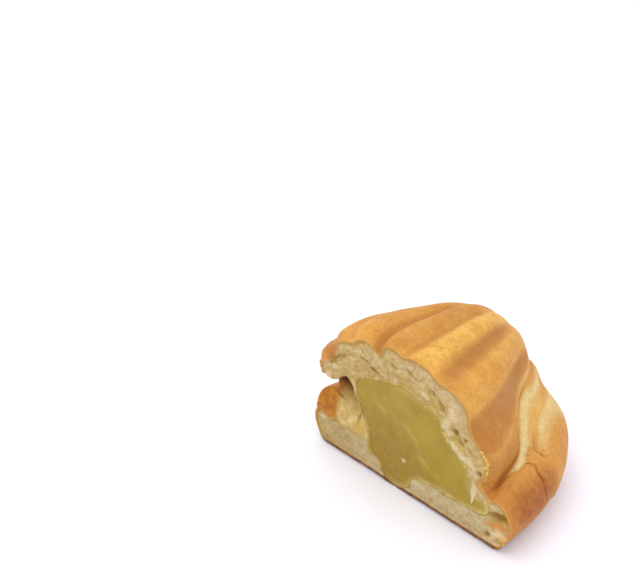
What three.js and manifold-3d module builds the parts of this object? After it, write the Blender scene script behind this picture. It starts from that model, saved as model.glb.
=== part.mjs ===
// Half of a filled melon pan: a ridged rugby-ball bun cut across its middle.
// Millimetres, +Z up. It is built with the cut at y = 0 and the tip towards +Y,
// and the last lines bring the middle of its footprint to the origin.
import * as THREE from 'three';
import { mergeVertices } from 'three/addons/utils/BufferGeometryUtils.js';
import Module from 'manifold-3d';

// ---- driving dimensions ----
const LENGTH = 75; // from the cut to the tip
const BASE = {
  middle: 2.3, // x of the middle of the footprint
  halfWidth: 50.3,
  roundness: 2.34, // 2 is an ellipse in plan, more is squarer
  contact: 0.86, // share of the half width that touches the table
  bulgeHeight: 11.5, // height of the widest line beside the cut
  bulgeRise: 4.5, // how much higher that line is at the tip
  rollHeight: 27, // top of the roll beside the cut
  rollRise: 15, // how much higher the roll is at the tip
  rollInner: 0.6, // inner edge of the roll beside the cut
  rollInnerRise: 0.13, // how much further out it is at the tip
};
const DOME = {
  length: 73.5,
  middle: -2, // x of the axis at the cut
  equator: 36, // height of the axis at the cut
  halfWidth: 42.5,
  rise: 28.6, // from the axis up to the crest
  drop: 20, // from the axis down to the keel
  tipShift: -3.8, // x of the tip, from the axis at the cut
  tipRise: 3.7, // height of the tip, above the axis at the cut
  sideSlope: -0.03, // the dome leans up towards its far side
  planPower: 1.52,
  planBlunt: 0.49,
  sidePower: 1.75,
  sideBlunt: 0.45,
};
// Furrows between the melon ridges: angle round the axis from the near side, depth, half width.
const FURROWS = [
  { angle: 15, depth: 5.2, spread: 11 },
  { angle: 53, depth: 1.8, spread: 9 },
  { angle: 87, depth: 1.7, spread: 6.5 },
  { angle: 115, depth: 5, spread: 6 },
  { angle: 140, depth: 1.5, spread: 6 },
  { angle: 160, depth: 1.4, spread: 4.5 },
];
const LIP = { angle: 171, height: 2, spread: 8 }; // ridge that overhangs the split
// The brim: near the cut, on the near side, the crust flares out over the roll.
const BRIM = { angle: -19, height: 4.6, spread: 6.5, length: 34, boxiness: 1.6 };
// Places where the dome is fuller or pinched: angle and y, how far that spreads, how high.
const DOME_SWELLS = [
  { angle: 140, y: 16, spread: 30, reach: 24, height: 4.2 },
  { angle: 105, y: 56, spread: 36, reach: 20, height: 3.8 },
  { angle: 15, y: 62, spread: 30, reach: 12, height: 2.8 },
  { angle: 0, y: 43, spread: 22, reach: 12, height: -4 },
  { angle: 4, y: 12, spread: 18, reach: 12, height: 1.2 },
  { angle: -13, y: 23, spread: 11, reach: 9, height: 3.4 },
];
// The same on the roll: degrees from the near side round to the tip, and height above the table.
const ROLL_SWELLS = [
  { turn: 47, z: 22, spread: 13, reach: 11, height: 0.9 },
  { turn: 63, z: 31, spread: 9, reach: 8, height: -2.6 },
  { turn: 4, z: 7, spread: 12, reach: 5, height: -0.9 },
  { turn: 178, z: 27, spread: 18, reach: 9, height: 4.6 },
];
const FILLING_LENGTH = 48; // from the cut to the filling's far end
const FILLING_AXIS = [4, 26]; // x and z that the filling narrows towards
const SPLIT_DEPTH = 15; // how far the open split runs in from the cut
const SPLIT_STRAIGHT = 1.2; // and how far it runs straight in before its floor curves up
const GAP = 0.4; // clearance between the bread and the filling
const SIDES = 72; // corners of a ring

// Outlines on the cut, x and z.
const FILLING_OUTLINE = [
  [-24, 40.5], [-13.4, 45.8], [-1, 49], [9.2, 47.2], [18.6, 44.2], [22, 37.5], [31.9, 28.2],
  [33.8, 20.5], [40.4, 18.4], [40.6, 13.6], [33, 11.6], [19.4, 11.3], [8.2, 9.6], [4.2, 3.6],
  [-0.5, 1.2], [-7.3, 2.2], [-11, 8], [-15.4, 13], [-16.5, 22.1], [-20.8, 28.5],
];
const SPLIT_MOUTH = [
  [-60, 15.5], [-47, 15.3], [-34, 16.3], [-20.5, 15], [-20, 20], [-22.6, 26.5], [-25.6, 33.5],
  [-28.6, 38.4], [-33, 38.2], [-39, 35], [-60, 34.5],
];
const SPLIT_END = [
  [-60, 31.2], [-54, 31.1], [-49, 31], [-43.5, 31], [-41, 31.2], [-41, 31.5], [-41.4, 31.8],
  [-42, 32], [-46, 32.3], [-50, 32.4], [-60, 32.5],
];

const wasm = await Module();
wasm.setup();

const radians = THREE.MathUtils.degToRad;
const bump = (value, centre, spread) => Math.exp(-(((value - centre) / spread) ** 2));
const ramp = (start, end, value) => THREE.MathUtils.smoothstep((value - start) / (end - start), 0, 1);
const sum = (values) => values.reduce((total, value) => total + value, 0);

// A closed solid through rings of points, each ring with as many points as the others.
function loft(rings, firstPole, lastPole) {
  const count = rings[0].length;
  const points = [...rings.flat(), firstPole, lastPole];
  const first = points.length - 2;
  const last = points.length - 1;
  const at = (ring, corner) => ring * count + (corner % count);
  const faces = [];
  for (let corner = 0; corner < count; corner++) {
    faces.push(first, at(0, corner), at(0, corner + 1));
    faces.push(last, at(rings.length - 1, corner + 1), at(rings.length - 1, corner));
    for (let ring = 0; ring < rings.length - 1; ring++) {
      faces.push(at(ring, corner), at(ring + 1, corner), at(ring + 1, corner + 1));
      faces.push(at(ring, corner), at(ring + 1, corner + 1), at(ring, corner + 1));
    }
  }
  const geometry = new THREE.BufferGeometry();
  geometry.setAttribute('position', new THREE.Float32BufferAttribute(points.flat(), 3));
  geometry.setIndex(faces);
  return geometry;
}

function toSolid(geometry) {
  const bare = geometry.clone();
  bare.deleteAttribute('normal');
  bare.deleteAttribute('uv');
  const merged = mergeVertices(bare);
  const solid = new wasm.Manifold(new wasm.Mesh({
    numProp: 3,
    vertProperties: new Float32Array(merged.attributes.position.array),
    triVerts: new Uint32Array(merged.index.array),
  }));
  return solid;
}

function toGeometry(solid) {
  const mesh = solid.getMesh();
  const geometry = new THREE.BufferGeometry();
  geometry.setAttribute('position', new THREE.BufferAttribute(mesh.vertProperties, 3));
  geometry.setIndex(new THREE.BufferAttribute(mesh.triVerts, 1));
  return geometry;
}

// ---- the ridged dome ----
// Distance from the dome's axis to its crust, round the axis and so far from the cut.
function domeRadius(angle, y) {
  const degrees = THREE.MathUtils.radToDeg(Math.atan2(Math.sin(angle), Math.cos(angle)));
  const tall = degrees > 0 ? DOME.rise : DOME.drop;
  const nearLow = degrees < 0 && degrees > -91;
  const power = 2 + (nearLow ? BRIM.boxiness * ramp(BRIM.length + 8, 10, y) : 0);
  const across = Math.abs(Math.cos(angle) / DOME.halfWidth) ** power;
  const up = Math.abs(Math.sin(angle) / tall) ** power;
  const furrows = FURROWS.map((row) => row.depth * bump(degrees, row.angle, row.spread));
  const fading = 1 - 0.65 * ramp(48, 68, y);
  const swells = DOME_SWELLS.map((row) => (
    row.height * bump(degrees, row.angle, row.spread) * bump(y, row.y, row.reach)
  ));
  const lip = LIP.height * bump(degrees, LIP.angle, LIP.spread);
  const brim = BRIM.height * bump(degrees, BRIM.angle, BRIM.spread) * ramp(BRIM.length, 4, y);
  const oval = (across + up) ** (-1 / power);
  return oval - sum(furrows) * fading + sum(swells) * ramp(0, 6, y) + lip + brim;
}

function domeRing(y) {
  const t = Math.max(y, 0) / DOME.length;
  const wide = (1 - t ** DOME.planPower) ** DOME.planBlunt;
  const tall = (1 - t ** DOME.sidePower) ** DOME.sideBlunt;
  const ring = [];
  for (let corner = 0; corner < SIDES; corner++) {
    const angle = (2 * Math.PI * corner) / SIDES;
    const radius = domeRadius(angle, Math.max(y, 0));
    const x = DOME.middle + DOME.tipShift * t + wide * radius * Math.cos(angle);
    const axis = DOME.equator + DOME.tipRise * t + DOME.sideSlope * x;
    ring.push([x, y, axis + tall * radius * Math.sin(angle)]);
  }
  return ring;
}

function makeDome() {
  const stations = [-4, 0];
  for (let share = 1; share < 16; share++) {
    stations.push(DOME.length * Math.sin((share / 16) * (Math.PI / 2)));
  }
  const rings = stations.map(domeRing);
  const tip = [DOME.middle + DOME.tipShift, DOME.length, DOME.equator + DOME.tipRise];
  return toSolid(loft(rings, [DOME.middle, -4, DOME.equator], tip));
}

// ---- the roll of dough round the dome's foot, and the flat base ----
function baseColumn(turn) {
  const power = 2 / BASE.roundness;
  const across = Math.sign(Math.cos(turn)) * Math.abs(Math.cos(turn)) ** power;
  const along = Math.sign(Math.sin(turn)) * Math.abs(Math.sin(turn)) ** power;
  const tipness = Math.sin(turn) ** 2;
  const bulge = BASE.bulgeHeight + BASE.bulgeRise * tipness;
  const top = BASE.rollHeight + BASE.rollRise * tipness;
  const inner = BASE.rollInner + BASE.rollInnerRise * tipness;
  const profile = [];
  for (let step = 0; step < 5; step++) {
    const lift = (step / 5) * (Math.PI / 2);
    const out = BASE.contact + (1 - BASE.contact) * Math.sin(lift);
    profile.push([out, bulge * (1 - Math.cos(lift)), 0]);
  }
  for (let step = 0; step <= 9; step++) {
    const lift = (step / 9) * (Math.PI / 2);
    profile.push([inner + (1 - inner) * Math.cos(lift), bulge + (top - bulge) * Math.sin(lift), lift]);
  }
  const degrees = THREE.MathUtils.radToDeg(Math.atan2(Math.abs(along), across));
  return profile.map(([out, z, lift]) => {
    const swells = ROLL_SWELLS.map((row) => (
      row.height * bump(degrees, row.turn, row.spread) * bump(z, row.z, row.reach)
    ));
    const swelling = sum(swells) * ramp(0.7, 0.95, out);
    const reach = out + (swelling * Math.cos(lift)) / BASE.halfWidth;
    return [
      BASE.middle + reach * BASE.halfWidth * across,
      reach * LENGTH * along,
      z + swelling * Math.sin(lift),
    ];
  });
}

function makeBase() {
  const columns = [];
  for (let corner = 0; corner < SIDES; corner++) {
    columns.push(baseColumn((2 * Math.PI * corner) / SIDES));
  }
  const rings = columns[0].map((_, level) => columns.map((column) => column[level]).reverse());
  return toSolid(loft(rings, [BASE.middle, 0, 0], [BASE.middle, 0, BASE.rollHeight]));
}

// ---- the filling and the open split ----
function smoothOutline(outline, count) {
  const corners = outline.map(([x, z]) => new THREE.Vector3(x, 0, z));
  const curve = new THREE.CatmullRomCurve3(corners, true, 'centripetal');
  return curve.getPoints(count).slice(0, count).map((point) => [point.x, point.z]).reverse();
}

// Moves each corner of a closed outline outwards, square to its neighbours' line.
function grow(outline, margin) {
  const count = outline.length;
  return outline.map(([x, z], corner) => {
    const before = outline[(corner + count - 1) % count];
    const after = outline[(corner + 1) % count];
    const run = [after[0] - before[0], after[1] - before[1]];
    const scale = margin / Math.hypot(...run);
    return [x + run[1] * scale, z - run[0] * scale];
  });
}

// The filling narrows to a round end; margin makes it larger for the hollow it sits in.
function makeFilling(margin) {
  const outline = smoothOutline(FILLING_OUTLINE, 60);
  const [middleX, middleZ] = FILLING_AXIS;
  const rings = [-3, 0, 6, 12, 18, 25, 31, 37, 42, 45.5].map((y) => {
    const share = Math.sqrt(1 - (Math.max(y, 0) / FILLING_LENGTH) ** 2);
    const shrunk = outline.map(([x, z]) => [
      middleX + (x - middleX) * share,
      middleZ + (z - middleZ) * share,
    ]);
    return grow(shrunk, margin).map(([x, z]) => [x, y, z]);
  });
  const length = FILLING_LENGTH + 2 * margin;
  return toSolid(loft(rings, [middleX, -3, middleZ], [middleX, length, middleZ]));
}

function makeSplit() {
  const rings = [-3, SPLIT_STRAIGHT, 2.2, 4, 7, 11, SPLIT_DEPTH].map((y) => {
    const along = Math.max(y - SPLIT_STRAIGHT, 0) / (SPLIT_DEPTH - SPLIT_STRAIGHT);
    const rise = Math.sqrt(1 - (1 - along) ** 2);
    return SPLIT_MOUTH.map(([x, z], corner) => {
      const [endX, endZ] = SPLIT_END[corner];
      return [x + (endX - x) * along, y, z + (endZ - z) * rise];
    });
  });
  const end = rings[rings.length - 1];
  const pole = (ring, y) => [
    ring.reduce((sum, point) => sum + point[0], 0) / ring.length,
    y,
    ring.reduce((sum, point) => sum + point[2], 0) / ring.length,
  ];
  return toSolid(loft(rings, pole(rings[0], -3), pole(end, SPLIT_DEPTH)));
}

// ---- assembly ----
const inFront = new THREE.BoxGeometry(4 * LENGTH, 2 * LENGTH, 4 * LENGTH);
inFront.translate(0, -LENGTH, 0);
const front = toSolid(inFront);
const bread = makeDome().add(makeBase()).subtract(front).subtract(makeSplit()).subtract(makeFilling(GAP));
const filling = makeFilling(0).subtract(front);

const bun = new THREE.Group();
const pieces = [
  ['bread', bread, { color: 0xdea05a, roughness: 0.75, metalness: 0 }],
  ['filling', filling, { color: 0xa88c3e, roughness: 0.4, metalness: 0 }],
];
for (const [name, solid, finish] of pieces) {
  const mesh = new THREE.Mesh(toGeometry(solid), new THREE.MeshStandardMaterial(finish));
  mesh.name = name;
  bun.add(mesh);
}
const box = new THREE.Box3().setFromObject(bun);
const middle = box.getCenter(new THREE.Vector3());
bun.position.set(-middle.x, -middle.y, -box.min.z);

export default bun;
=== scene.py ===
"""Looks of the halved melon pan bun: crust, crumb, filling, loose crumbs, light and camera.

Shapes are worked out in millimetres in the cut's own frame (x across the cut, y from the cut to
the tip, z up, as in the CAD part) and moved to the part's frame, in metres, when a mesh is made.
"""
import itertools
import math

import bpy
import numpy as np
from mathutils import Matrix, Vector


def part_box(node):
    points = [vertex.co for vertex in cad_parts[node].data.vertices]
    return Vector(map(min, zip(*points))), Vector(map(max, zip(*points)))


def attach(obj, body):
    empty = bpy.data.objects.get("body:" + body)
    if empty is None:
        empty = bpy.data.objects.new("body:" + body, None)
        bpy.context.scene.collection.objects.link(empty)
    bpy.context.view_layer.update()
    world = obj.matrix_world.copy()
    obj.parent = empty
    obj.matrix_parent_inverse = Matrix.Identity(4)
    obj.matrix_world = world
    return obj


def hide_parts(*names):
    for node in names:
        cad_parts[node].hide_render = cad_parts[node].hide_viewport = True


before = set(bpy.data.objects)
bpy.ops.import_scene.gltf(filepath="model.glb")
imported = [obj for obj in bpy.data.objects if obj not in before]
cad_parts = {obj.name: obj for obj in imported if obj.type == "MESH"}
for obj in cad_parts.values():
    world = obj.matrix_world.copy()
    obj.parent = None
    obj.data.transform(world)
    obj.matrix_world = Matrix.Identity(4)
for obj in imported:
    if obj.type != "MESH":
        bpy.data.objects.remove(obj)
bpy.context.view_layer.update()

# ---- the bun's sizes, in millimetres, as in the CAD part ----
LENGTH = 75.0
# Pairs for the heights of the roll's bulge and top and for its inner edge: at the sides, and how much
# more at the tip.
BASE = dict(middle=2.3, half_width=50.3, roundness=2.34, contact=0.86, bulge=(11.5, 4.5),
            top=(27.0, 15.0), inner=(0.6, 0.13))
# The dome's plan and side outlines each have a power and a bluntness.
DOME = dict(length=73.5, middle=-2.0, equator=36.0, half_width=42.5, rise=28.6, drop=20.0,
            tip_shift=-3.8, tip_rise=3.7, side_slope=-0.03, plan=(1.52, 0.49), side=(1.75, 0.45))
# Furrows between the ridges: angle round the dome's axis, depth at the cut, depth further in, spread.
FURROWS = ((15, 5.4, 4.4, 11), (53, 1.4, 3.4, 9), (87, 1.6, 2.3, 6.5), (115, 5.4, 2.8, 6),
           (140, 1.4, 1.8, 6), (160, 1.2, 1.6, 4.5))
# The lip: the dome's far edge, over the split.
LIP = dict(angle=171, height=2.0, spread=8)
# The brim: near the cut, on the near side, the crust flares out over the roll.
BRIM = dict(angle=-19, height=4.6, spread=6.5, length=34, boxiness=1.6)
# Places where the dome is fuller or pinched: angle, y, spread in degrees and in mm, height.
DOME_SWELLS = ((140, 16, 30, 24, 4.2), (105, 56, 36, 20, 3.8), (15, 62, 30, 12, 2.8),
               (0, 43, 22, 12, -4.0), (4, 12, 18, 12, 1.2), (-13, 23, 11, 9, 3.4))
# The same on the roll: degrees from the near side round to the tip, height, spreads, swelling.
ROLL_SWELLS = ((47, 22, 13, 11, 0.9), (63, 31, 9, 8, -1.4), (76, 38, 12, 7, 2.4),
               (4, 7, 12, 5, -0.9), (178, 27, 18, 9, 4.6))
# The near end of the roll is a lobe that stands a step above the pale dough behind it.
LOBE = dict(height=0.9, strip=3.4, end=28.4)
# A fold in the far part of the roll, so far out from the dome's rim.
FOLD = dict(out=9.6, height=0.9)

# The bite torn out of the brim at the cut, over the groove between dome and roll: x and z.
NOTCH = ((37.1, 25.4), (42.3, 22.0), (46.2, 25.2), (54.0, 27.5), (54.0, 33.0), (40.8, 31.6))
# The groove where dome and roll meet, and the soft lumps all over the outside.
GROOVE = dict(depth=1.5, width=0.9)
LUMPS = dict(height=0.22, size=16)
INSET = 0.3          # how far the outside is drawn in, so that lumps and relief stay in the CAD box

# The open split beside the filling: how deep it goes and its first straight stretch, the height of
# its floor at the cut, how far that floor climbs, and the height of its roof.
SPLIT = dict(depth=15.0, straight=1.2, floor=14.7, rise=18.5, roof=35.2)
# Heights, and where the wall on the filling's side of the split stands at each.
SPLIT_WALL = ((12, 17, 22, 28, 33, 38, 42), (-17.5, -18.2, -19.6, -22.9, -25.4, -28, -30))

FILLING_LENGTH = 48.0
FILLING_AXIS = (4.0, 26.0)
FILLING_OUTLINE = ((-24, 40.5), (-13.4, 45.8), (-1, 49), (9.2, 47.2), (18.6, 44.2), (22, 37.5),
                   (31.9, 28.2), (33.8, 20.5), (40.4, 18.4), (40.6, 13.6), (33, 11.6),
                   (19.4, 11.3), (8.2, 9.6), (4.2, 3.6), (-0.5, 1.2), (-7.3, 2.2), (-11, 8),
                   (-15.4, 13), (-16.5, 22.1), (-20.8, 28.5))

STEP = 0.38                      # grid step of the bread's mesh across and up
FINE, FINE_DEPTH = 0.3, 5.0      # its step along y close to the cut, and how deep that goes
COARSE = 0.75                    # its step along y further in
FILLING_STEP = 0.5
BREAD_GRID = ((-48.5, 0, 0), (53.2, LENGTH, 65))
FILLING_GRID = ((-26, 0, 0), (43, FILLING_LENGTH, 50.5))
BREAD_FACES, FILLING_FACES = 192000, 60000
MM = 0.001
STAGE_SHARE = 0.82               # a base colour's share of the screen colour it shows as

low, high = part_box("bread")
TO_FRAME = Vector((low.x - (BASE["middle"] - BASE["half_width"]) * MM, low.y, low.z))


# ---- noise ----
class Noise:
    """Smooth random fields from -1 to 1, each with its own seed."""

    lattice_side = 32        # points along each side of the lattice: a power of two, so that it repeats

    def __init__(self, seed):
        draw = np.random.default_rng(seed)
        cube = (self.lattice_side, self.lattice_side, self.lattice_side)
        self.lattice = draw.uniform(-1, 1, cube).astype(np.float32)
        self.jitter = draw.uniform(0, 1, (3, *cube)).astype(np.float32)

    def soft(self, x, y, z, size):
        """Value noise with lumps about size mm across."""
        cells, parts = [], []
        for value in (x, y, z):
            scaled = value / size
            whole = np.floor(scaled)
            part = scaled - whole
            cells.append(whole.astype(np.int32))
            parts.append(part * part * (3 - 2 * part))
        total = np.zeros_like(parts[0])
        for corner in range(8):
            weight = 1.0
            index = []
            for axis in range(3):
                side = (corner >> axis) & 1
                weight = weight * (parts[axis] if side else 1 - parts[axis])
                index.append((cells[axis] + side) & (self.lattice_side - 1))
            total += weight * self.lattice[tuple(index)]
        return total

    def layered(self, x, y, z, size, layers=3, fade=0.5):
        """Soft noise summed over ever smaller sizes."""
        total, strength, reach = 0.0, 1.0, 0.0
        for layer in range(layers):
            total = total + strength * self.soft(x + 7.1 * layer, y, z - 3.3 * layer, size)
            reach += strength
            size, strength = size * 0.5, strength * fade
        return total / reach

    def cells(self, x, y, z, size):
        """Distance to the nearest of scattered points, in units of size."""
        scaled = [value / size for value in (x, y, z)]
        whole = [np.floor(value).astype(np.int32) for value in scaled]
        nearest = np.full(scaled[0].shape, 9.0, np.float32)
        for shift in itertools.product((-1, 0, 1), repeat=3):
            cell = [place + step for place, step in zip(whole, shift)]
            index = tuple(value & (self.lattice_side - 1) for value in cell)
            gap = sum((cell[axis] + self.jitter[axis][index] - scaled[axis]) ** 2 for axis in range(3))
            nearest = np.minimum(nearest, gap)
        return np.sqrt(nearest)


def blend_min(a, b, width):
    """The smaller of two fields, with a rounded join about width mm wide."""
    mix = np.clip(0.5 + 0.5 * (b - a) / width, 0, 1)
    return b + (a - b) * mix - width * mix * (1 - mix)


def blend_max(a, b, width):
    return -blend_min(-a, -b, width)


def ramp(start, end, value):
    """Goes smoothly from 0 at start to 1 at end, whichever of the two is larger."""
    part = np.clip((value - start) / (end - start), 0, 1)
    return part * part * (3 - 2 * part)


def bump(value, centre, spread):
    """One at the centre, falling off to nothing on both sides."""
    return np.exp(-(((value - centre) / spread) ** 2))


wobble, crumb_noise, crust_noise, edge_noise = Noise(11), Noise(23), Noise(37), Noise(53)


# ---- the bun's outside, as fields: below zero inside, about a distance in mm ----
def dome_furrows(angle, y):
    """Depth of the furrows at an angle round the dome's axis."""
    degrees = np.degrees(angle)
    near_cut = np.exp(-np.maximum(y, 0) / 9)
    fading = 1 - 0.65 * ramp(48, 68, y)
    total = -LIP["height"] * bump(degrees, LIP["angle"], LIP["spread"])
    total = total - BRIM["height"] * bump(degrees, BRIM["angle"], BRIM["spread"]) * ramp(BRIM["length"], 4, y)
    for at, cut_depth, depth, spread in FURROWS:
        total = total + (depth + (cut_depth - depth) * near_cut) * bump(degrees, at, spread) * fading
    return total


def dome_swelling(angle, y):
    """How far the dome stands out beyond its plain form."""
    degrees = np.degrees(angle)
    total = 0.0
    for at, middle, spread, reach, height in DOME_SWELLS:
        total = total + height * bump(degrees, at, spread) * bump(y, middle, reach)
    return total * ramp(0, 6, y)


def dome_angle(x, y, z):
    """Angle, distance from the dome's axis, and how wide and tall the dome is there."""
    t = np.clip(y / DOME["length"], 0, 0.999)
    wide, tall = ((1 - t ** power) ** blunt for power, blunt in (DOME["plan"], DOME["side"]))
    axis = DOME["equator"] + DOME["tip_rise"] * t + DOME["side_slope"] * x
    across = (x - DOME["middle"] - DOME["tip_shift"] * t) / wide
    up = (z - axis) / tall
    return np.arctan2(up, across), np.hypot(across, up), wide, tall


def dome_field(x, y, z):
    """Below zero in the ridged dome."""
    angle, reach, wide, tall = dome_angle(x, y, z)
    angle = angle + np.radians(1.6) * wobble.soft(y, angle * 9, y * 0, 19)
    height = np.where(angle > 0, DOME["rise"], DOME["drop"])
    near_low = (angle < 0) & (angle > -1.6)
    power = 2 + np.where(near_low, BRIM["boxiness"], 0) * ramp(BRIM["length"] + 8, 10, y)
    oval = (np.abs(np.cos(angle) / DOME["half_width"]) ** power
            + np.abs(np.sin(angle) / height) ** power) ** (-1 / power)
    slope = np.hypot(np.cos(angle) / wide, np.sin(angle) / tall)
    side = (reach - oval + dome_furrows(angle, y) - dome_swelling(angle, y)) / slope
    return np.maximum(side, y - DOME["length"] + 0.4)


def base_reach(x, y):
    """Share of the way from the middle of the footprint to the roll's outermost line."""
    across = np.abs(x - BASE["middle"]) / BASE["half_width"]
    along = np.abs(y) / LENGTH
    power = BASE["roundness"]
    reach = (across ** power + along ** power) ** (1 / power)
    tipness = along ** 2 / (across ** 2 + along ** 2 + 1e-6)
    return reach, tipness


def base_field(x, y, z):
    """Below zero in the roll of dough and the base inside it."""
    reach, tipness = base_reach(x, y)
    along = np.abs(y) / LENGTH
    bulge, top, inner = (BASE[name][0] + BASE[name][1] * tipness for name in ("bulge", "top", "inner"))
    size = 1 / np.maximum(np.sqrt((1 - tipness) / BASE["half_width"] ** 2
                                  + tipness / LENGTH ** 2), 1e-6)
    upper_out = np.maximum(reach - inner, 0) / (1 - inner)
    upper = np.hypot(upper_out, (z - bulge) / (top - bulge))
    slope_up = np.hypot(upper_out / ((1 - inner) * size),
                        (z - bulge) / (top - bulge) ** 2) / np.maximum(upper, 1e-3)
    contact = BASE["contact"]
    lower_out = np.maximum(reach - contact, 0) / (1 - contact)
    lower_down = np.maximum(bulge - z, 0) / bulge
    lower = (lower_out ** 1.7 + lower_down ** 1.7) ** (1 / 1.7)
    side = np.where(z > bulge, (upper - 1) / np.maximum(slope_up, 0.02),
                    (lower - 1) * (1 - contact) * size)
    turn = np.degrees(np.arctan2(along, (x - BASE["middle"]) / BASE["half_width"]))
    outer = ramp(0.7, 0.95, reach)
    for at, middle, spread, height_spread, height in ROLL_SWELLS:
        side = side - height * bump(turn, at, spread) * bump(z, middle, height_spread) * outer
    return side


def lobe_edge(x, y, dome):
    """Distance past the lobe's rim, below zero on the lobe."""
    past_end = y - 0.45 * (x - 39.5) - LOBE["end"]
    return blend_max(past_end, LOBE["strip"] * ramp(4, 22, y) - dome, 4.0)


def roll_relief(x, y, z, dome):
    """Height of the lobe, the fold and the creases on the near side of the roll."""
    near_side = ramp(18, 26, x)
    edge = lobe_edge(x, y, dome)
    far_out = ramp(40.5, 46, x)
    step = ramp(1.2, -1.0, edge)
    slope = ramp(58, 24, y) * ramp(-0.8, 0.6, dome - LOBE["strip"])
    lobe = LOBE["height"] * (step + (slope - step) * far_out) * ramp(-6, 12, y)
    beyond = ramp(29, 33, y) * ramp(72, 58, y)
    fold = FOLD["height"] * ramp(FOLD["out"] - 0.9, FOLD["out"] + 0.7, dome) * beyond * near_side
    return (lobe + fold) * near_side


def roll_creases(x, y, z, dome):
    """Depth of the thin creases in the roll: one across the lobe and some at its far end."""
    waver = 0.7 * wobble.soft(x, z, y * 0, 4)
    across = 23.8 - 3.4 * ramp(44.5, 41, x) + waver
    lobe_crease = 1.2 * bump(y, across, 0.5) * ramp(40.5, 42.5, x) * ramp(11, 17, z)
    end = LOBE["end"] + 0.45 * (x - 39.5) + 0.5 * waver
    end_crease = 0.9 * bump(y, end + 0.4, 0.55) * ramp(37, 39, x) * ramp(46.5, 43, x)
    pinch = 0.8 * bump(dome, FOLD["out"] - 1.6, 0.8) * ramp(28.5, 30, y) * ramp(38, 32, y)
    return lobe_crease + end_crease + pinch * ramp(30, 34, x)


def notch_field(x, y, z):
    """Below zero in the bite torn out of the brim, which closes a few millimetres in."""
    return outline_distance(np.array(NOTCH), x, z) + 1.2 * ramp(0.5, 2.5, y) + 5 * ramp(2, 8, y)


def outside_field(x, y, z):
    """Below zero in the whole bun: dome and base joined, with a groove where they meet."""
    dome = dome_field(x, y, z)
    base = base_field(x, y, z)
    skin = (np.abs(base) < 4) & (x > 16) & (z > 8)
    place = x[skin], y[skin], z[skin], dome[skin]
    base[skin] += roll_creases(*place) - roll_relief(*place)
    groove = GROOVE["depth"] * bump(dome - base, 0, GROOVE["width"])
    groove = groove * ramp(-4, -1, np.minimum(dome, base))
    lumps = LUMPS["height"] * wobble.layered(x, y, z, LUMPS["size"], 2)
    whole = blend_min(dome, base, 0.8) + groove + lumps + INSET
    bite = (np.abs(x - 44) < 12) & (np.abs(z - 27) < 10) & (y < 9)
    whole[bite] = blend_max(whole[bite], -notch_field(x[bite], y[bite], z[bite]), 1.2)
    rim = (y < 3.5) & (np.abs(whole) < 2)
    loose = 0.16 + 0.4 * ramp(36, 42, x[rim]) * ramp(28, 22, z[rim]) + 0.25 * ramp(-36, -42, x[rim])
    whole[rim] += loose * edge_noise.layered(x[rim], y[rim], z[rim], 1.9, 2) * ramp(3.5, 0.5, y[rim])
    return blend_max(whole, 0.03 - z, 0.6)


# ---- the open split beside the filling ----
def split_field(x, y, z):
    """Below zero in the open air between the dome's lip and the roll."""
    depth = np.clip((y - SPLIT["straight"]) / (SPLIT["depth"] - SPLIT["straight"]), 0, 1)
    rise = np.sqrt(np.clip(1 - (1 - depth) ** 2, 0, 1))
    floor = SPLIT["floor"] + SPLIT["rise"] * rise + 0.5 * wobble.soft(x, y, z, 9)
    steep = SPLIT["rise"] * (1 - depth) / (np.maximum(rise, 0.15) * SPLIT["depth"]) * ramp(0.9, 1.6, y)
    roof = SPLIT["roof"] + 4.3 * bump(x, -30, 4.5) - 1.2 * bump(x, -39, 3) - 3.0 * depth
    roof = roof + 0.7 * edge_noise.layered(x, y, z, 3.5, 2)
    wall = np.interp(z, *SPLIT_WALL)
    wall = wall - 14 * depth + 0.4 * edge_noise.soft(x, y, z, 3)
    inside = blend_max((floor - z) / np.hypot(1, steep), z - roof, 1.0)
    inside = blend_max(inside, (x - wall) * 0.9, 2.0)
    fluff = 0.5 * crumb_noise.layered(x, y, z, 3.6, 3, 0.6) * ramp(-44, -38, x)
    return np.maximum(inside + fluff, y - SPLIT["depth"])


# ---- the filling ----
def smooth_outline(corners, count):
    """A closed curve through the corners."""
    corners = np.array(corners, float)
    before, after = np.roll(corners, 1, 0), np.roll(corners, -1, 0)
    beyond = np.roll(corners, -2, 0)
    points = []
    for part in np.linspace(0, 1, count, endpoint=False)[:, None, None]:
        points.append(0.5 * (2 * corners + (after - before) * part
                             + (2 * before - 5 * corners + 4 * after - beyond) * part ** 2
                             + (3 * corners - before - 3 * after + beyond) * part ** 3))
    return np.concatenate(np.stack(points, 1))


def outline_distance(outline, x, z):
    """Distance from points to a closed outline, below zero inside."""
    start, end = outline, np.roll(outline, -1, 0)
    nearest = np.full(x.shape, 1e9)
    crossings = np.zeros(x.shape, bool)
    for (ax, az), (bx, bz) in zip(start, end):
        run_x, run_z = bx - ax, bz - az
        part = np.clip(((x - ax) * run_x + (z - az) * run_z) / (run_x ** 2 + run_z ** 2), 0, 1)
        nearest = np.minimum(nearest, (x - ax - part * run_x) ** 2 + (z - az - part * run_z) ** 2)
        if az != bz:
            spans = (az > z) != (bz > z)
            crossings ^= spans & (x < (z - az) / (bz - az) * run_x + ax)
    return np.where(crossings, -1, 1) * np.sqrt(nearest)


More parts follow.
